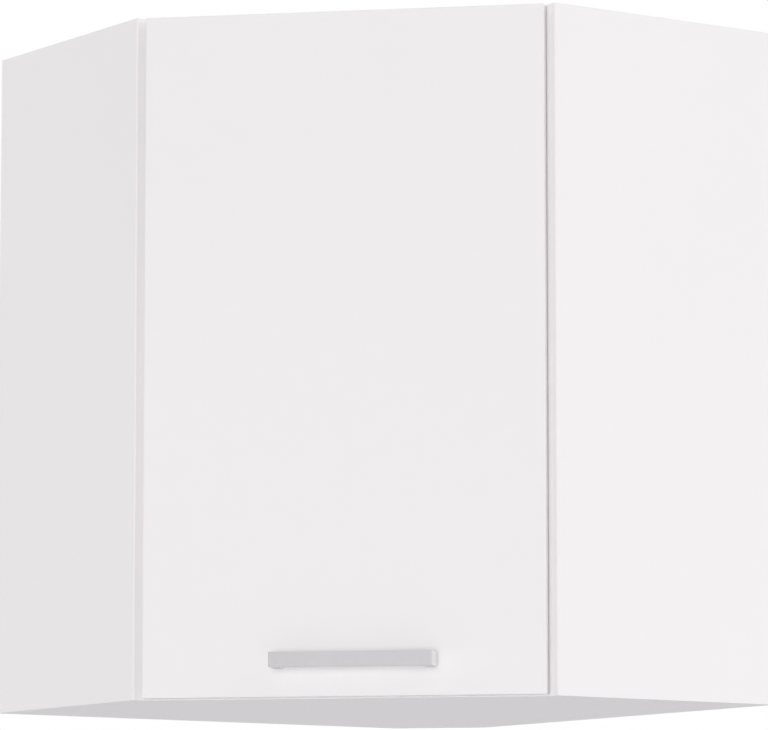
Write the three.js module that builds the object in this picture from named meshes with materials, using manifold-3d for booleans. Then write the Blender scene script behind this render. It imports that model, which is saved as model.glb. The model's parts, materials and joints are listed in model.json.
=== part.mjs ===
// Corner wall cabinet with one diagonal door. Millimetres, +Z up.
//
// The origin is where the two room walls meet, level with the cabinet's underside.
// The left wall is the plane x = 0 and the right wall is the plane y = 0.
// The cabinet fills the corner towards +X and -Y, and its door faces between them.
import * as THREE from "three";
import { mergeVertices } from "three/addons/utils/BufferGeometryUtils.js";
import Module from "manifold-3d";

const wasm = await Module();
wasm.setup();

// ---------------------------------------------------------------- driving dimensions

// Carcass
const wallSide = 600; // each rear side, along its wall
const cabinetHeight = 720;
const sideDepth = 285; // end panels, from the wall to the front edge
const boardThickness = 16;
const cornerCut = 72; // each leg of the rear corner that is cut off
const panelRounding = 2; // outer front edge of an end panel
const panelArris = 0.5; // its inner front edge
const shelfCount = 2;
const shelfPlay = 1; // shelf to end panels and backs
const shelfSetback = 22; // shelf behind the front edge of the bottom

// Backs in their grooves
const backThickness = 3;
const backRecess = 12; // wall to the back
const grooveDepth = 8;
const grooveClearance = 0.3; // each side of the back
const backShortfall = 1; // back short of the bottom of its groove

// Door
const doorThickness = 16;
const doorSideInset = 10.9; // from the outer front edge of an end panel, along the front
const doorReveal = 1.5; // door short of the top and of the underside
const doorGap = 0.7; // behind the door
const doorArris = 0.5;

// Door bumpers
const bumperRadius = 4;
const bumperFromEdge = 30; // from the opening edge of the door
const bumperSink = 0.6; // head below the back of the door
const bumperStemRadius = 2.5;
const bumperStem = 7; // inside the door

// Handle
const handleSpacing = 160; // between the screws
const handleHeight = 15.3;
const handleReach = 31; // out of the door's face
const handleBar = 7; // thickness of the bar
const handleLeg = 11; // thickness of a leg
const handleCorner = 2.5; // outer corners, seen from above
const handleRise = 38.2; // centre above the cabinet's underside
const handleShift = 13; // centre to the opening side of the door's middle
const handleScrewRadius = 2;
const handleScrewHeadRadius = 4;
const handleScrewHead = 2.4;
const handleScrewBite = 8; // screw inside the leg

// Concealed hinges: one bent link between arm and cup. Pivots and bends are given from
// the hinge edge of the door and behind its back, door shut.
const hingeFromEnd = 100; // hinge centre to the top and to the underside
const armPivotAt = [36, 0.7];
const cupPivotAt = [16.5, -1.3];
const linkBendsAt = [
  [31.5, -4.1],
  [22, -4.7],
];
const linkHalf = 3; // half the height of the link
const linkRadius = 1.4;
const linkEyeRadius = 2.3;
const linkEyeSpace = 1; // free around the eye in the arm
const hingePinRadius = 1.5;
const cheekThickness = 2; // arm on each side of the link
const lugThickness = 2.5; // cup on each side of the link
const cheekRadius = 2.5;
const lugRadius = 2.4;
const cupCentre = 22.5; // from the edge of the door
const cupRadius = 17.5;
const cupDepth = 12.5; // bore in the door
const cupWall = 1.2;
const cupFlange = 1;
const cupWingReach = 30; // flange above and below the cup's centre
const cupWingWidth = 12;
const cupWingStart = 4; // from the cup's centre, away from the door's edge
const cupNotchHalf = 6.6; // rim cut away under the arm
const cupNotchDepth = 5;
const cupScrewBehind = 10; // screws farther from the door's edge than the cup's centre
const cupScrewSpread = 24; // screws above and below the cup's centre
const armThickness = 2.4;
const armHeight = 10.5; // arm's middle line above the end panel's inner face
const armFront = 12; // bend behind the front edge of the end panel
const armLength = 48;
const armNeckAt = [31, 6.2];
const armScrewBehind = 50;
const plateBehindFront = 37; // plate screws behind the front edge
const plateBase = 3;
const plateBaseHalf = 24;
const plateBaseWidth = 16;
const plateRailHalf = 5.3;
const plateRailStart = 20; // behind the front edge
const plateRailLength = 38;
const plateScrewSpread = 16;

// Small pan-head screws
const screwRadius = 1.6;
const screwHeadRadius = 3;
const screwHead = 1.4;
const screwLength = 11;

// Shared clearances
const seatGap = 0.3; // between pieces that rest on each other in a turned frame
const holeClearance = 0.3; // radial, around a fastener
const holeEnd = 1; // hole past the tip of its fastener
const overcut = 1; // cutting body past the face that it opens

// Cam fittings
const camRadius = 7.5;
const camDepth = 12;
const camSetback = 34; // centre from the end panel's inner face
const camSlot = 1.6;
const camSlotLength = 10.5;
const camSlotDepth = 2.5;
const camFromWall = 60;
const camFromFront = 50;

// Shelf pins
const pinRadius = 2.5;
const pinShank = 8; // inside the end panel
const pinHoleDepth = 10;
const pinTongue = 9; // length of the tongue under the shelf
const pinTongueWidth = 7;
const pinTongueThickness = 2.5;
const pinFromWall = 60;
const pinFromFront = 55;
const pinHolePitch = 32; // spare holes above and below

// Hangers
const hangerWidth = 38;
const hangerHeight = 56;
const hangerThickness = 17;
const hangerDrop = 8; // under the top panel
const hangerBehindBack = 4; // housing in front of the back
const hookWidth = 12;
const hookThickness = 3;
const hookThroat = 8; // depth of the lip behind the rail
const hookWallGap = 2; // lip to the wall
const hookDrop = 26; // top of the hook under the inside of the top panel
const hookInside = 10; // hook's tail inside the housing
const hookStep = 0.6; // tail thinner than the hook's seat
const hangerScrewBite = 10; // screws inside the end panel
const hangerScrewBack = 26; // screws behind the front of the housing
const hangerScrewFromEnd = 10; // screws to the top and the bottom of the housing
const cutoutMargin = 6; // around the hook, in the back

// ---------------------------------------------------------------- worked-out sizes

const innerWall = wallSide - boardThickness;
const innerHeight = cabinetHeight - 2 * boardThickness;
const frontWidth = (wallSide - sideDepth) * Math.SQRT2;
const diagonal = Math.SQRT1_2;

// Front frame: x along the front from the left outer edge, -y out of the front.
const innerEdge = boardThickness * diagonal; // behind the line through the outer edges
const doorBack = innerEdge - doorGap;
const doorFace = doorBack - doorThickness;
const doorWidth = frontWidth - 2 * doorSideInset;
const doorHeight = cabinetHeight - 2 * doorReveal;
const handleCentre = frontWidth / 2 + handleShift;

const shelfPitch = (innerHeight - shelfCount * boardThickness) / (shelfCount + 1) + boardThickness;
const shelfUndersides = Array.from(
  { length: shelfCount },
  (_, i) => (i + 1) * shelfPitch,
);

// ---------------------------------------------------------------- materials

const material = (color, roughness, metalness = 0) =>
  new THREE.MeshStandardMaterial({ color, roughness, metalness });

const whiteBoard = () => material(0xedebed, 0.55);
const whiteHardboard = () => material(0xe6e4e4, 0.6);
const satinGrey = () => material(0xcdcbce, 0.4, 0.3);
const nickel = () => material(0xc9c7c2, 0.3, 1);
const zincPlate = () => material(0xb9bcc0, 0.4, 1);
const whitePlastic = () => material(0xe9e9e6, 0.5);
const clearRubber = () => material(0xd8d8d4, 0.7);

// ---------------------------------------------------------------- geometry helpers

// A closed geometry as a solid that can be cut and joined.
function solid(geometry) {
  const bare = geometry.index ? geometry.toNonIndexed() : geometry.clone();
  bare.deleteAttribute("normal");
  bare.deleteAttribute("uv");
  const merged = mergeVertices(bare, 1e-4);
  return new wasm.Manifold(
    new wasm.Mesh({
      numProp: 3,
      vertProperties: new Float32Array(merged.attributes.position.array),
      triVerts: new Uint32Array(merged.index.array),
    }),
  );
}

function geometryOf(body) {
  const mesh = body.getMesh();
  const geometry = new THREE.BufferGeometry();
  geometry.setAttribute("position", new THREE.BufferAttribute(mesh.vertProperties, 3));
  geometry.setIndex(new THREE.BufferAttribute(mesh.triVerts, 1));
  const flat = geometry.toNonIndexed();
  flat.computeVertexNormals();
  return flat;
}

// The first geometry with the others cut out of it.
function cut(geometry, tools) {
  return geometryOf(tools.reduce((body, tool) => body.subtract(solid(tool)), solid(geometry)));
}

function join(geometries) {
  const [first, ...others] = geometries.map(solid);
  return geometryOf(others.reduce((body, other) => body.add(other), first));
}

function outline(points) {
  return new THREE.Shape(points.map(([x, y]) => new THREE.Vector2(x, y)));
}

// An outline in plan, from one height to another.
function upright(shape, bottom, top) {
  const geometry = new THREE.ExtrudeGeometry(shape, {
    depth: top - bottom,
    bevelEnabled: false,
    curveSegments: 6,
  });
  return geometry.translate(0, 0, bottom);
}

// A box between two corners.
function block([x0, y0, z0], [x1, y1, z1]) {
  const geometry = new THREE.BoxGeometry(x1 - x0, y1 - y0, z1 - z0);
  return geometry.translate((x0 + x1) / 2, (y0 + y1) / 2, (z0 + z1) / 2);
}

// A round bar from a point, along x, y or z.
function bar(radius, length, [x, y, z], axis, sides = 20) {
  const geometry = new THREE.CylinderGeometry(radius, radius, length, sides);
  if (axis === "x") geometry.rotateZ(-Math.PI / 2);
  if (axis === "z") geometry.rotateX(Math.PI / 2);
  const half = length / 2;
  const shift = { x: [half, 0, 0], y: [0, half, 0], z: [0, 0, half] }[axis];
  return geometry.translate(x + shift[0], y + shift[1], z + shift[2]);
}

function piece(name, geometry, look, parent) {
  const mesh = new THREE.Mesh(geometry, look);
  mesh.name = name;
  parent.add(mesh);
  return mesh;
}

// ---------------------------------------------------------------- frames

const cabinet = new THREE.Group();

// Each end panel with what is fixed along its wall has a frame of its own:
// x out of the wall, y in from the end panel's outer face. The right one mirrors the left.
const leftSide = new THREE.Group();
leftSide.position.set(0, -wallSide, 0);

const rightSide = new THREE.Group();
rightSide.position.set(wallSide, 0, 0);
rightSide.rotation.z = Math.PI / 2;
rightSide.scale.x = -1;

const sides = { left: leftSide, right: rightSide };

const front = new THREE.Group();
front.position.set(sideDepth, -wallSide, 0);
front.rotation.z = Math.PI / 4;

cabinet.add(leftSide, rightSide, front);

// A point of a side's frame, in the cabinet's.
const inCabinet = {
  left: (x, y) => [x, y - wallSide],
  right: (x, y) => [wallSide - y, -x],
};

// ---------------------------------------------------------------- screws

// A pan-head screw along y, its head towards +y, over the given seat.
function screw(x, seat, z, length = screwLength) {
  return join([
    bar(screwRadius, length + seatGap + screwHead / 2, [x, seat - length, z], "y", 12),
    bar(screwHeadRadius, screwHead, [x, seat + seatGap, z], "y", 16),
  ]);
}

// The hole for that screw in the piece that it bites into, whose face is at surface.
function screwHole(x, surface, z, bite) {
  const depth = bite + holeEnd;
  return bar(screwRadius + holeClearance, depth + overcut, [x, surface - depth, z], "y", 12);
}

// ---------------------------------------------------------------- carcass boards

// Plan of a board between the end panels: its ends, rear edges, cut corner and
// front edge, the last two as x - y.
function boardPlan(end, rear, corner, frontLine) {
  return outline([
    [rear, -end],
    [frontLine - end, -end],
    [end, end - frontLine],
    [end, -rear],
    [corner - rear, -rear],
    [rear, rear - corner],
  ]);
}

const frontLine = sideDepth + innerWall;
const cornerInside = cornerCut + boardThickness / diagonal;
const backFace = backRecess + backThickness;
const backCornerEnd = backRecess - cornerInside + grooveDepth;

// The groove for one back, as a box in the cabinet's frame.
function grooveBox(side, bottom, top) {
  const [x0, x1] = [backRecess - grooveClearance, backFace + grooveClearance];
  const start = boardThickness - grooveDepth;
  const end = wallSide + backCornerEnd;
  const [ax, ay] = inCabinet[side](x0, start);
  const [bx, by] = inCabinet[side](x1, end);
  const low = [Math.min(ax, bx), Math.min(ay, by), bottom];
  const high = [Math.max(ax, bx), Math.max(ay, by), top];
  return block(low, high);
}

const camPlaces = { rear: camFromWall, front: sideDepth - camFromFront };

function eachCam(visit) {
  for (const side of Object.keys(sides))
    for (const [place, x] of Object.entries(camPlaces)) visit(side, place, x);
}

function camBores(inner, inward) {
  const bores = [];
  eachCam((side, place, x) => {
    const [cx, cy] = inCabinet[side](x, boardThickness + camSetback);
    const depth = camDepth + holeClearance;
    const bottom = inward > 0 ? inner - depth : inner - overcut;
    bores.push(bar(camRadius + holeClearance, depth + overcut, [cx, cy, bottom], "z", 24));
  });
  return bores;
}

// The bottom or the top: inner is the height of its inside face, inward its direction.
function levelBoard(name, inner, inward) {
  const outer = inner - inward * boardThickness;
  const [low, high] = [Math.min(inner, outer), Math.max(inner, outer)];
  const plan = boardPlan(innerWall, 0, cornerCut, frontLine);
  const floor = inner - inward * grooveDepth;
  const mouth = inner + inward * overcut;
  const grooves = Object.keys(sides).map((side) =>
    grooveBox(side, Math.min(floor, mouth), Math.max(floor, mouth)),
  );
  const tools = [...grooves, ...camBores(inner, inward)];
  piece(name, cut(upright(plan, low, high), tools), whiteBoard(), cabinet);
}

function cam(name, side, x, inner, inward) {
  const length = camDepth;
  const start = inward > 0 ? inner - length : inner;
  const y = boardThickness + camSetback;
  const body = bar(camRadius, length, [x, y, start], "z", 24);
  const face = inner - inward * camSlotDepth;
  const mouth = inner + inward * overcut;
  const [low, high] = [Math.min(face, mouth), Math.max(face, mouth)];
  const [long, half] = [camSlotLength / 2, camSlot / 2];
  const slots = [
    block([x - long, y - half, low], [x + long, y + half, high]),
    block([x - half, y - long, low], [x + half, y + long, high]),
  ];
  piece(name, cut(body, slots), zincPlate(), sides[side]);
}

const pinRows = { rear: pinFromWall, front: sideDepth - pinFromFront };

function shelfPinHoles() {
  const holes = [];
  for (const underside of shelfUndersides)
    for (const x of Object.values(pinRows))
      for (const step of [-1, 0, 1]) {
        const z = underside - pinRadius + step * pinHolePitch;
        const start = [x, boardThickness - pinHoleDepth, z];
        holes.push(bar(pinRadius + holeClearance, pinHoleDepth + overcut, start, "y", 12));
      }
  return holes;
}

function endPanel(name, side) {
  const plan = new THREE.Shape();
  plan.moveTo(0, 0);
  const [edge, arris] = [sideDepth - panelRounding, sideDepth - panelArris];
  plan.lineTo(edge, 0);
  plan.absarc(edge, panelRounding, panelRounding, -Math.PI / 2, 0, false);
  plan.lineTo(sideDepth, boardThickness - panelArris);
  plan.lineTo(arris, boardThickness);
  plan.lineTo(0, boardThickness);
  const groove = block(
    [backRecess - grooveClearance, boardThickness - grooveDepth, boardThickness - grooveDepth],
    [
      backFace + grooveClearance,
      boardThickness + overcut,
      cabinetHeight - boardThickness + grooveDepth,
    ],
  );
  const tools = [groove, ...shelfPinHoles(), ...hangerScrewHoles()];
  if (side === "left") tools.push(...plateScrewHoles());
  piece(name, cut(upright(plan, 0, cabinetHeight), tools), whiteBoard(), sides[side]);
}

const hookY = boardThickness + hangerThickness / 2;
const hookTop = cabinetHeight - boardThickness - hookDrop;
const hookBearing = hookTop - hookThickness;

function back(name, side) {
  const start = boardThickness - grooveDepth + backShortfall;
  const end = wallSide + backCornerEnd - backShortfall;
  const panel = block(
    [backRecess, start, start],
    [backFace, end, cabinetHeight - start],
  );
  const reach = hookWidth / 2 + cutoutMargin;
  const opening = block(
    [backRecess - overcut, hookY - reach, hookBearing - hookThroat - cutoutMargin],
    [backFace + overcut, hookY + reach, hookTop + cutoutMargin],
  );
  piece(name, cut(panel, [opening]), whiteHardboard(), sides[side]);
}

function cornerBack() {
  const plan = outline([
    [0, -cornerCut],
    [0, -cornerInside],
    [cornerInside, 0],
    [cornerCut, 0],
  ]);
  const [low, high] = [boardThickness, cabinetHeight - boardThickness];
  const grooves = Object.keys(sides).map((side) =>
    grooveBox(side, low - overcut, high + overcut),
  );
  piece("corner_back_panel", cut(upright(plan, low, high), grooves), whiteBoard(), cabinet);
}

function shelf(name, underside) {
  const play = shelfPlay / diagonal;
  const plan = boardPlan(
    innerWall - shelfPlay,
    backFace + shelfPlay,
    cornerInside + play,
    frontLine - shelfSetback / diagonal,
  );
  piece(name, upright(plan, underside, underside + boardThickness), whiteBoard(), cabinet);
}

function shelfPin(name, side, x, underside) {
  const shank = bar(
    pinRadius,
    pinShank + pinTongueThickness,
    [x, boardThickness - pinShank, underside - pinRadius],
    "y",
    12,
  );
  const tongue = block(
    [x - pinTongueWidth / 2, boardThickness, underside - pinTongueThickness],
    [x + pinTongueWidth / 2, boardThickness + pinTongue, underside],
  );
  const over = block(
    [x - pinTongueWidth, boardThickness - pinShank - overcut, underside],
    [x + pinTongueWidth, boardThickness + pinTongue, underside + pinRadius],
  );
  piece(name, geometryOf(solid(join([shank, tongue])).subtract(solid(over))), nickel(), sides[side]);
}

// ---------------------------------------------------------------- hangers

const hangerFront = backFace + hangerBehindBack;
const hangerTop = cabinetHeight - boardThickness - hangerDrop;

const hangerFace = boardThickness + hangerThickness;
const hangerScrewX = hangerFront + hangerScrewBack;
const hangerScrewHeights = {
  lower: hangerTop - hangerHeight + hangerScrewFromEnd,
  upper: hangerTop - hangerScrewFromEnd,
};

function hangerScrewHoles() {
  return Object.values(hangerScrewHeights).map((z) =>
    screwHole(hangerScrewX, boardThickness, z, hangerScrewBite),
  );
}

function hanger(side) {
  const housing = block(
    [hangerFront, boardThickness, hangerTop - hangerHeight],
    [hangerFront + hangerWidth, hangerFace, hangerTop],
  );
  const tailBottom = hookBearing + hookStep;
  const half = hookWidth / 2 + seatGap;
  const slot = block(
    [hangerFront - overcut, hookY - half, tailBottom - seatGap],
    [hangerFront + hookInside + seatGap, hookY + half, hookTop + seatGap],
  );
  const holes = Object.values(hangerScrewHeights).map((z) =>
    screwHole(hangerScrewX, hangerFace, z, hangerThickness),
  );
  piece(`${side}_hanger_housing`, cut(housing, [slot, ...holes]), whitePlastic(), sides[side]);

  const [near, far] = [hookY - hookWidth / 2, hookY + hookWidth / 2];
  const seat = block([hookWallGap, near, hookBearing], [hangerFront - seatGap, far, hookTop]);
  const tail = block([hookWallGap, near, tailBottom], [hangerFront + hookInside, far, hookTop]);
  const lip = block(
    [hookWallGap, near, hookBearing - hookThroat],
    [hookWallGap + hookThickness, far, hookTop],
  );
  piece(`${side}_hanger_hook`, join([seat, tail, lip]), zincPlate(), sides[side]);

  for (const [place, z] of Object.entries(hangerScrewHeights)) {
    const body = screw(hangerScrewX, hangerFace, z, hangerThickness + hangerScrewBite);
    piece(`${side}_hanger_screw_${place}`, body, nickel(), sides[side]);
  }
}

// ---------------------------------------------------------------- hinges

const hingeHeights = { lower: hingeFromEnd, upper: cabinetHeight - hingeFromEnd };
const cupX = doorSideInset + cupCentre;
const cupBottom = doorBack - cupDepth;
const flangeSeat = doorBack + seatGap;
const flangeBack = flangeSeat + cupFlange;
const atDoor = ([x, behind]) => [doorSideInset + x, doorBack + behind];
const armPivot = atDoor(armPivotAt);
const cupPivot = atDoor(cupPivotAt);
const linkSpace = linkHalf + seatGap;
const armHalf = linkSpace + cheekThickness;
const lugHalf = linkSpace + lugThickness;
const pivotBore = hingePinRadius + holeClearance;

// A point of the front frame in the left side's frame.
function ontoSide([x, y]) {
  return [sideDepth + (x - y) * diagonal, (x + y) * diagonal];
}

// A strap with round ends along plan points.
function strap(points, radius, bottom, top) {
  const legs = points.slice(1).map(([bx, by], i) => {
    const [ax, ay] = points[i];
    const turn = Math.atan2(by - ay, bx - ax);
    const shape = new THREE.Shape();
    shape.absarc(ax, ay, radius, turn + Math.PI / 2, turn + 1.5 * Math.PI, false);
    shape.absarc(bx, by, radius, turn - Math.PI / 2, turn + Math.PI / 2, false);
    return upright(shape, bottom, top);
  });
  return join(legs);
}

// A round pin, eye or bore on a pivot, centred on a height.
function onPivot([x, y], radius, z, half, sides = 20) {
  return bar(radius, 2 * half, [x, y, z - half], "z", sides);
}

// The same block above and below a height.
function mirrored([x0, y0], [x1, y1], near, far, z) {
  return [
    block([x0, y0, z + near], [x1, y1, z + far]),
    block([x0, y0, z - far], [x1, y1, z - near]),
  ];
}

function hingeLink(name, z) {
  const path = [armPivot, ...linkBendsAt.map(atDoor), cupPivot];
  const parts = [
    strap(path, linkRadius, z - linkHalf, z + linkHalf),
    onPivot(armPivot, linkEyeRadius, z, linkHalf),
    onPivot(cupPivot, linkEyeRadius, z, linkHalf),
    onPivot(armPivot, hingePinRadius, z, armHalf),
    onPivot(cupPivot, hingePinRadius, z, lugHalf),
  ];
  piece(name, join(parts), nickel(), front);
}

function hingeArm(name, z) {
  const pivot = ontoSide(armPivot);
  const middle = boardThickness + armHeight;
  const [bend, end] = [armFront, armFront + armLength].map((behind) => [sideDepth - behind, middle]);
  const path = [end, bend, ontoSide(atDoor(armNeckAt)), pivot];
  const arm = join([
    strap(path, armThickness / 2, z - armHalf, z + armHalf),
    onPivot(pivot, cheekRadius, z, armHalf),
  ]);
  const tools = [
    onPivot(pivot, linkEyeRadius + linkEyeSpace, z, linkSpace),
    onPivot(pivot, pivotBore, z, armHalf + overcut),
    screwHole(armScrewX, middle + armThickness / 2, z, armThickness),
  ];
  piece(name, cut(arm, tools), nickel(), leftSide);
}

function cupScrewPlaces(z) {
  const x = cupX + cupScrewBehind;
  return { lower: [x, z - cupScrewSpread], upper: [x, z + cupScrewSpread] };
}

function hingeCup(name, z) {
  const floor = cupBottom + seatGap;
  const shell = bar(cupRadius, flangeBack - floor, [cupX, floor, z], "y", 40);
  const wing = block(
    [cupX + cupWingStart, flangeSeat, z - cupWingReach],
    [cupX + cupWingStart + cupWingWidth, flangeBack, z + cupWingReach],
  );
  const bore = cupDepth + cupFlange - cupWall + overcut;
  const inside = bar(cupRadius - cupWall, bore, [cupX, floor + cupWall, z], "y", 40);
  const rimOnEdgeSide = block(
    [cupX - cupRadius - overcut, doorBack, z - cupRadius - overcut],
    [cupX, flangeBack + overcut, z + cupRadius + overcut],
  );
  const notch = block(
    [cupX, flangeBack - cupNotchDepth, z - cupNotchHalf],
    [cupX + cupRadius + overcut, flangeBack + overcut, z + cupNotchHalf],
  );
  const holes = Object.values(cupScrewPlaces(z)).map(([x, height]) =>
    screwHole(x, flangeBack, height, cupFlange),
  );
  const cup = solid(cut(join([shell, wing]), [inside, rimOnEdgeSide, notch, ...holes]));
  const [x, y] = cupPivot;
  const lugs = mirrored([x - lugRadius, floor], [x + lugRadius, y], linkSpace, lugHalf, z);
  const eyes = cut(onPivot(cupPivot, lugRadius, z, lugHalf), [
    onPivot(cupPivot, lugRadius + overcut, z, linkSpace),
  ]);
  const held = [...lugs, eyes].reduce((body, lug) => body.add(solid(lug)), cup);
  const bored = held.subtract(solid(onPivot(cupPivot, pivotBore, z, lugHalf + overcut)));
  piece(name, geometryOf(bored), nickel(), front);
}

const plateX = sideDepth - plateBehindFront;
const armScrewX = sideDepth - armScrewBehind;
const plateScrewSteps = { lower: -plateScrewSpread, upper: plateScrewSpread };
const railTop = boardThickness + armHeight - armThickness / 2 - seatGap;
const armBack = boardThickness + armHeight + armThickness / 2;
const armScrewShort = 2; // end of the arm screw above the end panel
const armScrewLength = armBack - boardThickness - armScrewShort;

function plateScrewHoles() {
  return Object.values(hingeHeights).flatMap((z) =>
    Object.values(plateScrewSteps).map((step) =>
      screwHole(plateX, boardThickness, z + step, screwLength - plateBase),
    ),
  );
}

function mountingPlate(name, z) {
  const half = plateBaseWidth / 2;
  const railEnd = sideDepth - plateRailStart;
  const body = join([
    block(
      [plateX - half, boardThickness, z - plateBaseHalf],
      [plateX + half, boardThickness + plateBase, z + plateBaseHalf],
    ),
    block(
      [railEnd - plateRailLength, boardThickness, z - plateRailHalf],
      [railEnd, railTop, z + plateRailHalf],
    ),
  ]);
  const holes = Object.values(plateScrewSteps).map((step) =>
    screwHole(plateX, boardThickness + plateBase, z + step, plateBase),
  );
  holes.push(screwHole(armScrewX, railTop, z, railTop - boardThickness - armScrewShort));
  piece(name, cut(body, holes), nickel(), leftSide);
}

function hinge(level, z) {
  hingeCup(`${level}_hinge_cup`, z);
  hingeLink(`${level}_hinge_link`, z);
  hingeArm(`${level}_hinge_arm`, z);
  mountingPlate(`${level}_hinge_plate`, z);
  piece(`${level}_arm_screw`, screw(armScrewX, armBack, z, armScrewLength), nickel(), leftSide);
  for (const [place, [x, height]] of Object.entries(cupScrewPlaces(z)))
    piece(`${level}_cup_screw_${place}`, screw(x, flangeBack, height), nickel(), front);
  for (const [place, step] of Object.entries(plateScrewSteps)) {
    const seat = boardThickness + plateBase;
    piece(`${level}_plate_screw_${place}`, screw(plateX, seat, z + step), nickel(), leftSide);
  }
}

// ---------------------------------------------------------------- door

const handleScrewPlaces = {
  left: handleCentre - handleSpacing / 2,
  right: handleCentre + handleSpacing / 2,
};

const bumperX = doorSideInset + doorWidth - bumperFromEdge;
const bumperHeights = {
  lower: boardThickness / 2,
  upper: cabinetHeight - boardThickness / 2,
};

function doorPanel() {
  const [left, right] = [doorSideInset + doorArris, doorSideInset + doorWidth - doorArris];
  const [low, high] = [doorReveal + doorArris, doorReveal + doorHeight - doorArris];
  const shape = outline([
    [left, low],
    [right, low],
    [right, high],
    [left, high],
  ]);
  const panel = new THREE.ExtrudeGeometry(shape, {
    depth: doorThickness - 2 * doorArris,
    bevelThickness: doorArris,
    bevelSize: doorArris,
    bevelSegments: 2,
  });
  panel.rotateX(Math.PI / 2).translate(0, doorBack - doorArris, 0);
  const tools = [];
  for (const z of Object.values(hingeHeights)) {
    const start = [cupX, cupBottom, z];
    tools.push(bar(cupRadius + holeClearance, cupDepth + overcut, start, "y", 40));
    for (const [x, height] of Object.values(cupScrewPlaces(z)))
      tools.push(screwHole(x, doorBack, height, screwLength - cupFlange - seatGap));
  }
  for (const x of Object.values(handleScrewPlaces)) {
    const start = [x, doorFace - overcut, handleRise];
    const radius = handleScrewRadius + holeClearance;
    tools.push(bar(radius, doorThickness + 2 * overcut, start, "y", 16));
  }
  for (const z of Object.values(bumperHeights)) {
    const depth = bumperStem + holeEnd;
    const start = [bumperX, doorBack - depth, z];
    const sink = bumperSink + seatGap;
    const seat = [bumperX, doorBack - sink, z];
    tools.push(bar(bumperStemRadius + holeClearance, depth + overcut, start, "y", 16));
    tools.push(bar(bumperRadius + holeClearance, sink + overcut, seat, "y", 24));
  }
  piece("door_panel", cut(panel, tools), whiteBoard(), front);
}

function doorHandle() {
  const half = (handleSpacing + handleLeg) / 2;
  const [left, right] = [handleCentre - half, handleCentre + half];
  const foot = doorFace - seatGap;
  const face = doorFace - handleReach;
  const soft = handleCorner;
  const shape = new THREE.Shape();
  shape.moveTo(left, foot);
  shape.lineTo(left, face + soft);
  shape.absarc(left + soft, face + soft, soft, Math.PI, 1.5 * Math.PI, false);
  shape.lineTo(right - soft, face);
  shape.absarc(right - soft, face + soft, soft, 1.5 * Math.PI, 2 * Math.PI, false);
  shape.lineTo(right, foot);
  shape.lineTo(right - handleLeg, foot);
  shape.lineTo(right - handleLeg, face + handleBar);
  shape.lineTo(left + handleLeg, face + handleBar);
  shape.lineTo(left + handleLeg, foot);
  const [low, high] = [handleRise - handleHeight / 2, handleRise + handleHeight / 2];
  const holes = Object.values(handleScrewPlaces).map((x) => {
    const depth = handleScrewBite + holeEnd;
    const radius = handleScrewRadius + holeClearance;
    return bar(radius, depth + overcut, [x, foot - depth, handleRise], "y", 16);
  });
  piece("door_handle", cut(upright(shape, low, high), holes), satinGrey(), front);
}

function handleScrew(name, x) {
  const seat = doorBack + seatGap;
  const end = doorFace - seatGap - handleScrewBite;
  const parts = [
    bar(handleScrewRadius, seat + handleScrewHead / 2 - end, [x, end, handleRise], "y", 16),
    bar(handleScrewHeadRadius, handleScrewHead, [x, seat, handleRise], "y", 20),
  ];
  piece(name, join(parts), nickel(), front);
}

// A press-in bumper: a flat head sunk into the back of the door, on a stem.
function bumper(name, z) {
  const head = [bumperX, doorBack - bumperSink, z];
  const thickness = bumperSink + doorGap - seatGap;
  const end = doorBack - bumperStem;
  const stem = bumperStem - bumperSink + thickness / 2;
  const body = join([
    bar(bumperRadius, thickness, head, "y", 24),
    bar(bumperStemRadius, stem, [bumperX, end, z], "y", 16),
  ]);
  piece(name, body, clearRubber(), front);
}

// ---------------------------------------------------------------- assembly

endPanel("left_end_panel", "left");
endPanel("right_end_panel", "right");
levelBoard("bottom_panel", boardThickness, 1);
levelBoard("top_panel", cabinetHeight - boardThickness, -1);
back("left_back_panel", "left");
back("right_back_panel", "right");
cornerBack();

eachCam((side, place, x) => {
  cam(`bottom_${side}_${place}_cam`, side, x, boardThickness, 1);
  cam(`top_${side}_${place}_cam`, side, x, cabinetHeight - boardThickness, -1);
});

shelfUndersides.forEach((underside, i) => {
  shelf(`shelf_${i + 1}`, underside);
  for (const side of Object.keys(sides))
    for (const [place, x] of Object.entries(pinRows))
      shelfPin(`shelf_${i + 1}_${side}_${place}_pin`, side, x, underside);
});

for (const side of Object.keys(sides)) hanger(side);

doorPanel();
doorHandle();
for (const [place, x] of Object.entries(handleScrewPlaces)) handleScrew(`handle_screw_${place}`, x);
for (const [place, z] of Object.entries(bumperHeights)) bumper(`${place}_door_bumper`, z);

for (const [level, z] of Object.entries(hingeHeights)) hinge(level, z);

export default cabinet;
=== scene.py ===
import json
import math

import bpy
from mathutils import Matrix, Vector

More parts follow.
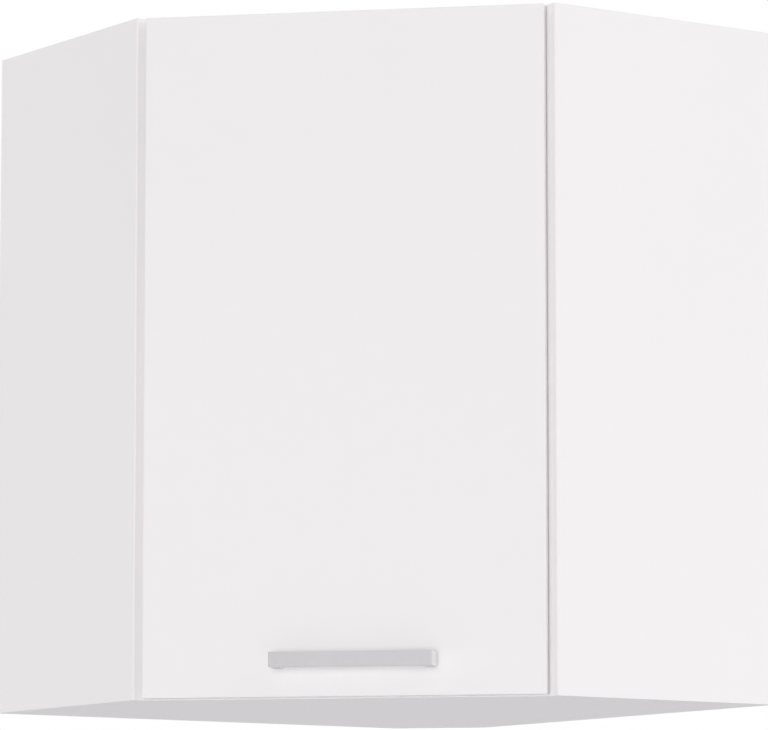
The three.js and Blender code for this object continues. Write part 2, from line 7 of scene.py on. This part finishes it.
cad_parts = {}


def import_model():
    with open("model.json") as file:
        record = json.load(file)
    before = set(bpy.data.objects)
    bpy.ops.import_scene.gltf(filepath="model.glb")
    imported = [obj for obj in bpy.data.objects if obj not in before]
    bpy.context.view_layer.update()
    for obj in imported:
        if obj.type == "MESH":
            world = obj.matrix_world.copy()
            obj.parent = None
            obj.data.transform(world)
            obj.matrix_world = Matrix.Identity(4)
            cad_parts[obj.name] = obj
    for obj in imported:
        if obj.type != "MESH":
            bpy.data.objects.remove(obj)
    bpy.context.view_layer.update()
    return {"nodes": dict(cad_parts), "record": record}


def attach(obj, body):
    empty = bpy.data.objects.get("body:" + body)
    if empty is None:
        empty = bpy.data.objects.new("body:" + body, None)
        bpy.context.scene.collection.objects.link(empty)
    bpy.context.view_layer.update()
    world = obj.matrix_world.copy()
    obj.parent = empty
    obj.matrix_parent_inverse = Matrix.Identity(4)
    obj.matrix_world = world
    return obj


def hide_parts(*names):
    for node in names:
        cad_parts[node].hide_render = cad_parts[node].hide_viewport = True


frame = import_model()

MM = 0.001
DIAGONAL = math.sqrt(0.5)

# ---------------------------------------------------------------- camera

CAMERA_PLACE = Vector((4.5987, -3.2418, -0.3066))
CAMERA_YAW = math.radians(145.565)  # direction of view in plan, from +X
CAMERA_PITCH = math.radians(7.412)  # upward
CAMERA_LENS = 228.22  # mm on a sensor of 36 mm


def camera():
    data = bpy.data.cameras.new("camera")
    data.sensor_width = 36
    data.lens = CAMERA_LENS
    data.clip_end = 100
    view = Vector((
        math.cos(CAMERA_YAW) * math.cos(CAMERA_PITCH),
        math.sin(CAMERA_YAW) * math.cos(CAMERA_PITCH),
        math.sin(CAMERA_PITCH),
    ))
    seen = bpy.data.objects.new("camera", data)
    seen.location = CAMERA_PLACE
    seen.rotation_mode = "QUATERNION"
    seen.rotation_quaternion = view.to_track_quat("-Z", "Y")
    bpy.context.scene.collection.objects.link(seen)
    bpy.context.scene.camera = seen


# ---------------------------------------------------------------- node helpers

SQUARE = (0.9, 0.97)  # cosines between which a face comes to count as square to a direction


class Nodes:
    """A material's node tree, with short ways to add to it."""

    def __init__(self, name):
        self.material = bpy.data.materials.new(name)
        self.material.use_nodes = True
        self.tree = self.material.node_tree
        self.shader = self.tree.nodes["Principled BSDF"]
        self.output = self.tree.nodes["Material Output"]
        coordinates = self.add("ShaderNodeTexCoord").outputs
        self.place = coordinates["Object"]
        self.normal = coordinates["Normal"]

    def add(self, kind, **settings):
        node = self.tree.nodes.new(kind)
        for key, value in settings.items():
            setattr(node, key, value)
        return node

    def link(self, source, target):
        self.tree.links.new(source, target)

    def feed(self, socket, value):
        if isinstance(value, bpy.types.NodeSocket):
            self.link(value, socket)
        else:
            socket.default_value = value

    def scaled(self, scale):
        """The place on the object, stretched by a factor for each axis."""
        mapping = self.add("ShaderNodeMapping")
        mapping.inputs["Scale"].default_value = scale
        self.link(self.place, mapping.inputs["Vector"])
        return mapping.outputs["Vector"]

    def noise(self, size, detail=3, roughness=0.5, place=None):
        """Noise whose features measure about size, in metres."""
        node = self.add("ShaderNodeTexNoise")
        node.inputs["Scale"].default_value = 1 / size
        node.inputs["Detail"].default_value = detail
        node.inputs["Roughness"].default_value = roughness
        self.link(place or self.place, node.inputs["Vector"])
        return node.outputs["Fac"]

    def ramp(self, value, low, high, out_low=0.0, out_high=1.0):
        """A value mapped from one range to another, held at the ends."""
        node = self.add("ShaderNodeMapRange", clamp=True)
        for socket, number in zip(list(node.inputs)[1:5], (low, high, out_low, out_high)):
            socket.default_value = number
        self.feed(node.inputs["Value"], value)
        return node.outputs["Result"]

    def maths(self, operation, first, second=0.0):
        node = self.add("ShaderNodeMath", operation=operation)
        self.feed(node.inputs[0], first)
        self.feed(node.inputs[1], second)
        return node.outputs[0]

    def mix(self, share, first, second):
        node = self.add("ShaderNodeMix", data_type="RGBA")
        self.feed(node.inputs["Factor"], share)
        self.feed(node.inputs["A"], first)
        self.feed(node.inputs["B"], second)
        return node.outputs["Result"]

    def bump(self, height, distance, under=None):
        """A relief of the given depth in metres, on top of another one."""
        node = self.add("ShaderNodeBump")
        node.inputs["Distance"].default_value = distance
        node.inputs["Strength"].default_value = 1.0
        self.link(height, node.inputs["Height"])
        if under:
            self.link(under, node.inputs["Normal"])
        return node.outputs["Normal"]

    def dot(self, vector, direction):
        node = self.add("ShaderNodeVectorMath", operation="DOT_PRODUCT")
        self.link(vector, node.inputs[0])
        node.inputs[1].default_value = direction
        return node.outputs["Value"]

    def facing(self, direction):
        """1 where the surface faces along a direction, 0 elsewhere."""
        return self.ramp(self.dot(self.normal, direction), *SQUARE)

    def across(self, direction):
        """1 where the surface faces along a direction or against it, 0 elsewhere."""
        return self.ramp(self.maths("ABSOLUTE", self.dot(self.normal, direction)), *SQUARE)

    def near(self, planes):
        """Distances to the nearest and to the second nearest of some planes."""
        nearest, second = 1.0, 1.0
        for direction, level in planes:
            gap = self.maths("SUBTRACT", self.dot(self.place, direction), level)
            gap = self.maths("ABSOLUTE", gap)
            second = self.maths("MINIMUM", second, self.maths("MAXIMUM", nearest, gap))
            nearest = self.maths("MINIMUM", nearest, gap)
        return nearest, second

    def wear(self, size):
        """1 on edges that stand out, in patches of about size, in metres."""
        sharpness = self.add("ShaderNodeNewGeometry").outputs["Pointiness"]
        patches = self.ramp(self.noise(size, 4, 0.6), 0.4, 0.65)
        return self.maths("MULTIPLY", self.ramp(sharpness, 0.52, 0.62), patches)


def shade(red, green, blue):
    """A screen colour from 0 to 255 as the linear colour of a socket."""

    def linear(value):
        value /= 255
        return value / 12.92 if value <= 0.04045 else ((value + 0.055) / 1.055) ** 2.4

    return (linear(red), linear(green), linear(blue), 1.0)


# ---------------------------------------------------------------- materials

# Directions of the row frame.
X, Y, Z = (1, 0, 0), (0, 1, 0), (0, 0, 1)
ALONG_DOOR = (DIAGONAL, DIAGONAL, 0)  # from the hinged edge of the door to the other
INWARD = (-DIAGONAL, DIAGONAL, 0)  # from the door to the room corner


def chipboard(n):
    """Raw chipboard, where a board is cut or drilled: its colour, and a height for its bump."""
    flakes = n.add("ShaderNodeTexVoronoi", feature="F1")
    flakes.inputs["Scale"].default_value = 1 / 0.0025
    flakes.inputs["Randomness"].default_value = 1.0
    warped = n.add("ShaderNodeMixRGB", blend_type="LINEAR_LIGHT")
    warped.inputs["Fac"].default_value = 0.0012
    n.link(n.place, warped.inputs["Color1"])
    turbulence = n.add("ShaderNodeTexNoise")
    turbulence.inputs["Scale"].default_value = 1 / 0.004
    n.link(n.place, turbulence.inputs["Vector"])
    n.link(turbulence.outputs["Color"], warped.inputs["Color2"])
    n.link(warped.outputs["Color"], flakes.inputs["Vector"])
    tone = n.add("ShaderNodeSeparateColor")
    n.link(flakes.outputs["Color"], tone.inputs["Color"])
    colour = n.mix(tone.outputs["Red"], shade(203, 173, 130), shade(166, 131, 90))
    dust = n.noise(0.0007, 4, 0.65)
    colour = n.mix(n.ramp(dust, 0.45, 0.75, 0, 0.7), colour, shade(219, 194, 155))
    dark = n.ramp(tone.outputs["Green"], 0.86, 0.93, 0, 0.6)
    colour = n.mix(dark, colour, shade(112, 82, 54))
    return colour, n.maths("ADD", flakes.outputs["Distance"], dust)


BOARD_TONE = (243.5, 241, 242)
BOARD_TONE_2 = (244.5, 242, 243)
BOARD_TONE_3 = (240, 237.5, 238.5)
EDGING = 0.001  # thickness of the edging


def white_board(name, faces, broad):
    """Melamine-faced board: faint pearl texture, faint clouds, a seam beside the edging.

    faces are the white planes and broad is the direction across the board. All that lies off
    the white planes, as a cut edge or a bore, is raw chipboard.
    """
    n = Nodes(name)
    skin, edge = n.near(faces)
    cloud = n.noise(0.35, 3, 0.45)
    fine = n.noise(0.0016, 3, 0.6)
    colour = n.mix(n.ramp(cloud, 0.3, 0.7), shade(*BOARD_TONE), shade(*BOARD_TONE_2))
    colour = n.mix(n.ramp(fine, 0.35, 0.75, 0, 0.15), colour, shade(*BOARD_TONE_3))
    from_seam = n.maths("ABSOLUTE", n.maths("SUBTRACT", edge, EDGING))
    seam = n.maths("MULTIPLY", n.ramp(from_seam, 0.00004, 0.0001, 1, 0), n.across(broad))
    colour = n.mix(n.maths("MULTIPLY", seam, 0.35), colour, shade(214, 211, 209))
    patches = n.ramp(n.noise(0.02, 4, 0.6), 0.5, 0.7)
    rubbed = n.maths("MULTIPLY", n.ramp(edge, 0.0003, 0.0011, 1, 0), patches)
    colour = n.mix(n.maths("MULTIPLY", rubbed, 0.3), colour, shade(229, 226, 223))
    raw = n.ramp(skin, 0.00065, 0.0008)
    inside, chips = chipboard(n)
    n.link(n.mix(raw, colour, inside), n.shader.inputs["Base Color"])
    smears = n.ramp(n.noise(0.09, 4, 0.6), 0.3, 0.7, 0.44, 0.5)
    rough = n.maths("ADD", smears, n.ramp(fine, 0.3, 0.7, -0.03, 0.03))
    n.link(n.maths("MAXIMUM", rough, n.ramp(raw, 0, 1, 0, 0.85)), n.shader.inputs["Roughness"])
    n.shader.inputs["Specular IOR Level"].default_value = 0.25
    pearl = n.bump(fine, 0.000008)
    n.link(n.bump(n.maths("MULTIPLY", chips, raw), 0.00025, pearl), n.shader.inputs["Normal"])
    return n.material


def white_hardboard():
    """Thin fibreboard, lacquered white inside and bare towards the walls."""
    n = Nodes("white_hardboard")
    bare = n.maths("MAXIMUM", n.facing((-1, 0, 0)), n.facing((0, 1, 0)))
    fibres = n.noise(0.0022, 6, 0.7, n.scaled((1, 1, 0.45)))
    cloud = n.noise(0.12, 4, 0.5)
    white = n.mix(n.ramp(cloud, 0.3, 0.7), shade(236, 234, 235), shade(240, 238, 238))
    white = n.mix(n.ramp(fibres, 0.35, 0.8, 0, 0.3), white, shade(228, 226, 226))
    brown = n.mix(n.ramp(fibres, 0.3, 0.7), shade(139, 101, 68), shade(176, 138, 99))
    brown = n.mix(n.ramp(cloud, 0.35, 0.7, 0, 0.35), brown, shade(158, 116, 78))
    specks = n.ramp(n.noise(0.0011, 2, 0.5), 0.66, 0.72)
    brown = n.mix(n.maths("MULTIPLY", specks, 0.6), brown, shade(84, 58, 38))
    n.link(n.mix(bare, white, brown), n.shader.inputs["Base Color"])
    n.link(n.ramp(bare, 0, 1, 0.5, 0.82), n.shader.inputs["Roughness"])
    n.shader.inputs["Specular IOR Level"].default_value = 0.3
    height = n.maths("MULTIPLY", fibres, n.ramp(bare, 0, 1, 0.3, 1.0))
    n.link(n.bump(height, 0.00012), n.shader.inputs["Normal"])
    return n.material


def metal(name, light, dark, roughness, grain, stretch=(1, 1, 1)):
    """Plated steel: fine grain, cloudy roughness and edges worn bright."""
    n = Nodes(name)
    lines = n.noise(grain, 3, 0.6, n.scaled(stretch))
    cloud = n.noise(0.006, 4, 0.6)
    colour = n.mix(n.ramp(cloud, 0.3, 0.7), dark, light)
    colour = n.mix(n.ramp(lines, 0.4, 0.7, 0, 0.25), colour, light)
    colour = n.mix(n.maths("MULTIPLY", n.wear(0.004), 0.5), colour, shade(232, 231, 228))
    n.link(colour, n.shader.inputs["Base Color"])
    n.shader.inputs["Metallic"].default_value = 1.0
    rough = n.maths("ADD", n.ramp(cloud, 0.3, 0.7, *roughness), n.ramp(lines, 0.3, 0.7, -0.04, 0.04))
    n.link(rough, n.shader.inputs["Roughness"])
    n.link(n.bump(lines, 0.00002), n.shader.inputs["Normal"])
    return n.material


def nickel():
    light, dark = shade(216, 213, 207), shade(205, 202, 196)
    return metal("nickel", light, dark, (0.24, 0.32), 0.0012, (1, 1, 6))


def zinc():
    light, dark = shade(204, 207, 211), shade(184, 189, 194)
    return metal("zinc", light, dark, (0.32, 0.46), 0.0009)


def satin_grey():
    """The handle: light grey satin finish with the faintest lengthwise grain, and a painted
    highlight on the end face that looks along the door.
    """
    n = Nodes("satin_grey")
    turned = n.add("ShaderNodeVectorRotate", rotation_type="Z_AXIS")
    turned.inputs["Angle"].default_value = -math.pi / 4
    n.link(n.place, turned.inputs["Vector"])
    mapping = n.add("ShaderNodeMapping")
    mapping.inputs["Scale"].default_value = (0.02, 1, 1)
    n.link(turned.outputs["Vector"], mapping.inputs["Vector"])
    grain = n.noise(0.0006, 3, 0.6, mapping.outputs["Vector"])
    cloud = n.noise(0.05, 3, 0.5)
    colour = n.mix(n.ramp(cloud, 0.3, 0.7), shade(212, 209, 212), shade(215, 212, 214.5))
    colour = n.mix(n.ramp(grain, 0.4, 0.7, 0, 0.3), colour, shade(207, 204.5, 207))
    # Painted highlight: the end face turned along the door, towards the right light, is painted
    # lighter; the other end is not.
    colour = n.mix(n.facing(ALONG_DOOR), colour, shade(240, 238, 240))
    colour = n.mix(n.maths("MULTIPLY", n.wear(0.008), 0.5), colour, shade(230, 228, 229))
    n.link(colour, n.shader.inputs["Base Color"])
    n.link(n.ramp(grain, 0.3, 0.7, 0.4, 0.48), n.shader.inputs["Roughness"])
    n.shader.inputs["Metallic"].default_value = 0.5
    n.link(n.bump(grain, 0.000008), n.shader.inputs["Normal"])
    return n.material


def white_plastic():
    """Moulded plastic with a fine spark-eroded texture."""
    n = Nodes("white_plastic")
    spark = n.noise(0.0007, 3, 0.6)
    cloud = n.noise(0.02, 3, 0.5)
    colour = n.mix(n.ramp(cloud, 0.3, 0.7), shade(230, 229, 225), shade(235, 234, 231))
    colour = n.mix(n.maths("MULTIPLY", n.wear(0.006), 0.4), colour, shade(243, 242, 240))
    n.link(colour, n.shader.inputs["Base Color"])
    n.link(n.ramp(spark, 0.3, 0.7, 0.44, 0.58), n.shader.inputs["Roughness"])
    n.link(n.bump(spark, 0.00004), n.shader.inputs["Normal"])
    return n.material


def clear_rubber():
    """Soft clear bumper, a little dusty."""
    n = Nodes("clear_rubber")
    dust = n.noise(0.0015, 4, 0.6)
    colour = n.mix(n.ramp(dust, 0.4, 0.7), shade(226, 226, 222), shade(212, 212, 207))
    n.link(colour, n.shader.inputs["Base Color"])
    n.link(n.ramp(dust, 0.3, 0.7, 0.35, 0.6), n.shader.inputs["Roughness"])
    n.shader.inputs["Subsurface Weight"].default_value = 0.4
    n.shader.inputs["Subsurface Radius"].default_value = (0.002, 0.002, 0.002)
    n.link(n.bump(dust, 0.00003), n.shader.inputs["Normal"])
    return n.material


def ends(direction, node, *which):
    """Planes at a node's lowest and highest places along a direction: it, and a level in metres."""
    places = [Vector(direction).dot(v.co) for v in frame["nodes"][node].data.vertices]
    found = {"low": (direction, min(places)), "high": (direction, max(places))}
    return [found[name] for name in which or found]


def board_faces(node):
    """The white planes of a board and the direction across it; its other faces are raw."""
    both_z = ends(Z, node)
    if node == "left_end_panel":
        return ends(Y, node) + ends(X, node, "high") + both_z, Y
    if node == "right_end_panel":
        return ends(X, node) + ends(Y, node, "low") + both_z, X
    if node == "door_panel":
        return ends(ALONG_DOOR, node) + ends(INWARD, node) + both_z, INWARD
    if node == "corner_back_panel":
        return ends(INWARD, node), INWARD
    return both_z + ends(INWARD, node, "low"), Z


MATERIALS = {
    "white_hardboard": white_hardboard(),
    "satin_grey": satin_grey(),
    "nickel": nickel(),
    "zinc": zinc(),
    "white_plastic": white_plastic(),
    "clear_rubber": clear_rubber(),
}
SLOT_OF = {part["node"]: part["material_slot"] for part in frame["record"]["subparts"]}

# Rounding of the edges of what a slot covers, in metres.
EDGE_OF = {
    "white_board": 0.0004,
    "white_hardboard": 0.0002,
    "satin_grey": 0.0009,
    "nickel": 0.0002,
    "zinc": 0.00025,
    "white_plastic": 0.0006,
    "clear_rubber": 0.0001,
}


def smooth_by_angle():
    """A node group that shades a mesh smooth, but for its sharp edges."""
    tree = bpy.data.node_groups.new("smooth_by_angle", "GeometryNodeTree")
    tree.interface.new_socket("Geometry", in_out="INPUT", socket_type="NodeSocketGeometry")
    tree.interface.new_socket("Geometry", in_out="OUTPUT", socket_type="NodeSocketGeometry")
    start = tree.nodes.new("NodeGroupInput")
    end = tree.nodes.new("NodeGroupOutput")
    faces = tree.nodes.new("GeometryNodeSetShadeSmooth")
    faces.domain = "FACE"
    edges = tree.nodes.new("GeometryNodeSetShadeSmooth")
    edges.domain = "EDGE"
    edges.inputs["Shade Smooth"].default_value = False
    angle = tree.nodes.new("GeometryNodeInputMeshEdgeAngle")
    sharp = tree.nodes.new("FunctionNodeCompare")
    sharp.data_type = "FLOAT"
    sharp.operation = "GREATER_THAN"
    sharp.inputs[1].default_value = math.radians(35)
    tree.links.new(start.outputs[0], faces.inputs["Geometry"])
    tree.links.new(faces.outputs[0], edges.inputs["Geometry"])
    tree.links.new(angle.outputs["Unsigned Angle"], sharp.inputs[0])
    tree.links.new(sharp.outputs[0], edges.inputs["Selection"])
    tree.links.new(edges.outputs[0], end.inputs[0])
    return tree


SMOOTH = smooth_by_angle()


def soften(made, width):
    """Small rounded edges, and smooth shading of round forms."""
    weld = made.modifiers.new("weld", "WELD")
    weld.merge_threshold = 0.00001
    bevel = made.modifiers.new("edges", "BEVEL")
    bevel.width = width
    bevel.segments = 2
    bevel.limit_method = "ANGLE"
    bevel.angle_limit = math.radians(40)
    bevel.miter_outer = "MITER_ARC"
    smooth = made.modifiers.new("smooth", "NODES")
    smooth.node_group = SMOOTH
    weighted = made.modifiers.new("normals", "WEIGHTED_NORMAL")
    weighted.keep_sharp = True


def dress_nodes():
    for name, node in frame["nodes"].items():
        slot = SLOT_OF[name]
        if slot == "white_board":
            look = white_board(f"white_board.{name}", *board_faces(name))
        else:
            look = MATERIALS[slot]
        node.data.materials.clear()
        node.data.materials.append(look)
        soften(node, EDGE_OF[slot])


# ---------------------------------------------------------------- screws

SCREW_SIDES = 64
SCREW_RINGS = 12
HEAD_DOME = 0.35  # rise of the head's dome, as a share of the head's height
RECESS_DEPTH = 0.75  # cross recess: its depth, as a share of the same
RECESS_REACH = 0.58  # its reach and half width, as shares of the head's radius
RECESS_HALF = 0.12
RECESS_BLUR = 0.05
BODY_OF = {
    node: body
    for body, nodes in frame["record"]["behaviour"]["bodies"].items()
    for node in nodes
}


def step(value, low, high):
    """0 below a range, 1 above it, smooth between."""
    share = min(max((value - low) / (high - low), 0), 1)
    return share * share * (3 - 2 * share)


def head_height(x, y, dome, depth):
    """Height of a domed head with a cross recess; x and y as shares of its radius."""

    def within(place, reach):
        return 1 - step(abs(place), reach - RECESS_BLUR, reach + RECESS_BLUR)

    r = math.hypot(x, y)
    long_x, long_y = within(x, RECESS_REACH), within(y, RECESS_REACH)
    thin_x, thin_y = within(x, RECESS_HALF), within(y, RECESS_HALF)
    middle = 1 - step(r, 0.2, 0.3)
    sunk = max(long_x * thin_y, long_y * thin_x, middle)
    return -dome * r * r - depth * sunk * (1 - 0.5 * r)


def screw_mesh(name, length, radius, head, head_radius):
    """A pan-head screw along z, the top of its head at 0."""
    dome, depth = head * HEAD_DOME, head * RECESS_DEPTH
    below = [
        (radius * 0.5, -length),
        (radius, -length + radius),
        (radius, -head),
        (head_radius * 0.96, -head),
        (head_radius, -head + 0.0001),
    ]
    turns = [2 * math.pi * k / SCREW_SIDES for k in range(SCREW_SIDES)]
    circle = [(math.cos(turn), math.sin(turn)) for turn in turns]
    rings = [[(0, 0, -length)]]
    for r, z in below:
        rings.append([(x * r, y * r, z) for x, y in circle])
    for k in range(SCREW_RINGS):
        share = 1 - k / SCREW_RINGS
        r = head_radius * share
        rings.append([(x * r, y * r, head_height(x * share, y * share, dome, depth))
                      for x, y in circle])
    rings.append([(0, 0, head_height(0, 0, dome, depth))])
    starts = [sum(len(ring) for ring in rings[:k]) for k in range(len(rings))]
    faces = []
    for low, high, a, b in zip(rings, rings[1:], starts, starts[1:]):
        for k in range(SCREW_SIDES):
            after = (k + 1) % SCREW_SIDES
            if len(low) == 1:
                faces.append((a, b + after, b + k))
            elif len(high) == 1:
                faces.append((a + k, a + after, b))
            else:
                faces.append((a + k, a + after, b + after, b + k))
    mesh = bpy.data.meshes.new(name)
    mesh.from_pydata([place for ring in rings for place in ring], [], faces)
    mesh.update()
    return mesh


def detailed_screw(node, axis, radius, head, head_radius):
    """A screw with a cross recess in the place of a plain one, its head along the axis."""
    axis = Vector(axis)
    places = [v.co for v in frame["nodes"][node].data.vertices]
    levels = [place.dot(axis) for place in places]
    low, high = min(levels), max(levels)
    side = axis.orthogonal().normalized()
    spread = [[place.dot(way) for place in places] for way in (side, axis.cross(side))]
    middle = [(min(s) + max(s)) / 2 for s in spread]
    across = side * middle[0] + axis.cross(side) * middle[1]
    name = f"{node}_detail"
    mesh = screw_mesh(name, high - low, radius, head, head_radius)
    mesh.materials.append(MATERIALS["nickel"])
    made = bpy.data.objects.new(name, mesh)
    turn = axis.to_track_quat("Z", "Y").to_matrix().to_4x4()
    mesh.transform(Matrix.Translation(across + axis * high) @ turn)
    bpy.context.scene.collection.objects.link(made)
    smooth = made.modifiers.new("smooth", "NODES")
    smooth.node_group = SMOOTH
    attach(made, BODY_OF[node])
    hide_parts(node)


def screws():
    small = (1.6 * MM, 1.4 * MM, 3 * MM)  # radius of the shank, height and radius of the head
    large = (2 * MM, 2.4 * MM, 4 * MM)
    for hinge in ("lower", "upper"):
        detailed_screw(f"{hinge}_arm_screw", Y, *small)
        for place in ("lower", "upper"):
            detailed_screw(f"{hinge}_cup_screw_{place}", INWARD, *small)
            detailed_screw(f"{hinge}_plate_screw_{place}", Y, *small)
    for place in ("lower", "upper"):
        detailed_screw(f"left_hanger_screw_{place}", Y, *small)
        detailed_screw(f"right_hanger_screw_{place}", (-1, 0, 0), *small)
    for side in ("left", "right"):
        detailed_screw(f"handle_screw_{side}", INWARD, *large)


# ---------------------------------------------------------------- light and floor

FLOOR_DROP = 1.4  # floor below the underside of the cabinet
FLOOR_SIZE = 40
FLOOR_TONE = (242, 241, 243)  # as it lights the object
FLOOR_SHOWN = (231, 231, 232)  # as the camera sees it, so that a white top stands out
FLOOR_SHOWN_2 = (235, 235, 236)
SKY_LOW = 0.12  # light at the horizon
SKY_HIGH = 0.4  # light overhead


def plain_white(tree, surface):
    """White to the camera, to reflections and through glass; the given shader to all else."""
    path = tree.nodes.new("ShaderNodeLightPath")
    seen = path.outputs["Is Camera Ray"]
    for ray in ("Is Glossy Ray", "Is Transmission Ray"):
        either = tree.nodes.new("ShaderNodeMath")
        either.operation = "MAXIMUM"
        tree.links.new(seen, either.inputs[0])
        tree.links.new(path.outputs[ray], either.inputs[1])
        seen = either.outputs[0]
    flat = tree.nodes.new("ShaderNodeBackground")
    flat.inputs["Color"].default_value = (1, 1, 1, 1)
    flat.inputs["Strength"].default_value = 1.0
    mixed = tree.nodes.new("ShaderNodeMixShader")
    tree.links.new(seen, mixed.inputs[0])
    tree.links.new(surface, mixed.inputs[1])
    tree.links.new(flat.outputs[0], mixed.inputs[2])
    return mixed.outputs[0]


def world():
    made = bpy.data.worlds.new("studio")
    bpy.context.scene.world = made
    made.use_nodes = True
    tree = made.node_tree
    soft = tree.nodes["Background"]
    soft.inputs["Color"].default_value = (1, 1, 1, 1)
    coordinates = tree.nodes.new("ShaderNodeTexCoord")
    split = tree.nodes.new("ShaderNodeSeparateXYZ")
    tree.links.new(coordinates.outputs["Generated"], split.inputs[0])
    level = tree.nodes.new("ShaderNodeMapRange")
    for socket, number in zip(list(level.inputs)[1:5], (0, 1, SKY_LOW, SKY_HIGH)):
        socket.default_value = number
    tree.links.new(split.outputs["Z"], level.inputs["Value"])
    tree.links.new(level.outputs["Result"], soft.inputs["Strength"])
    tree.links.new(plain_white(tree, soft.outputs[0]), tree.nodes["World Output"].inputs["Surface"])


def floor():
    n = Nodes("pale_floor")
    grain = n.noise(0.4, 3, 0.5)
    shown = n.mix(n.ramp(grain, 0.3, 0.7), shade(*FLOOR_SHOWN), shade(*FLOOR_SHOWN_2))
    seen = n.add("ShaderNodeLightPath").outputs["Is Camera Ray"]
    n.link(n.mix(seen, shade(*FLOOR_TONE), shown), n.shader.inputs["Base Color"])
    n.shader.inputs["Roughness"].default_value = 0.9
    # Seen from below, the floor is clear.
    clear = n.add("ShaderNodeBsdfTransparent").outputs[0]
    sides = n.add("ShaderNodeMixShader")
    n.link(n.add("ShaderNodeNewGeometry").outputs["Backfacing"], sides.inputs[0])
    n.link(n.shader.outputs[0], sides.inputs[1])
    n.link(clear, sides.inputs[2])
    n.link(sides.outputs[0], n.output.inputs["Surface"])
    mesh = bpy.data.meshes.new("floor")
    half = FLOOR_SIZE / 2
    corners = [(-half, -half, 0), (half, -half, 0), (half, half, 0), (-half, half, 0)]
    mesh.from_pydata(corners, [], [(0, 1, 2, 3)])
    mesh.materials.append(n.material)
    made = bpy.data.objects.new("floor", mesh)
    made.location = (0, 0, -FLOOR_DROP)
    made.visible_shadow = False  # the front light reaches the object from below it too
    bpy.context.scene.collection.objects.link(made)


# Soft lights: direction in plan from +X, elevation and spread in degrees, and strength.
LIGHTS = {
    "front_light": (-45, 0, 25, 1.47),
    "right_light": (55, 35, 75, 1.54),
    "left_light": (-145, 35, 75, 0.74),
}


def lights():
    for name, (plan, height, spread, strength) in LIGHTS.items():
        plan, height = math.radians(plan), math.radians(height)
        towards = Vector((
            math.cos(plan) * math.cos(height),
            math.sin(plan) * math.cos(height),
            math.sin(height),
        ))
        data = bpy.data.lights.new(name, "SUN")
        data.energy = strength
        data.angle = math.radians(spread)
        lamp = bpy.data.objects.new(name, data)
        lamp.visible_glossy = False
        lamp.rotation_mode = "QUATERNION"
        lamp.rotation_quaternion = towards.to_track_quat("Z", "Y")
        bpy.context.scene.collection.objects.link(lamp)


bpy.context.scene.view_settings.view_transform = "Standard"
camera()
dress_nodes()
screws()
world()
floor()
lights()
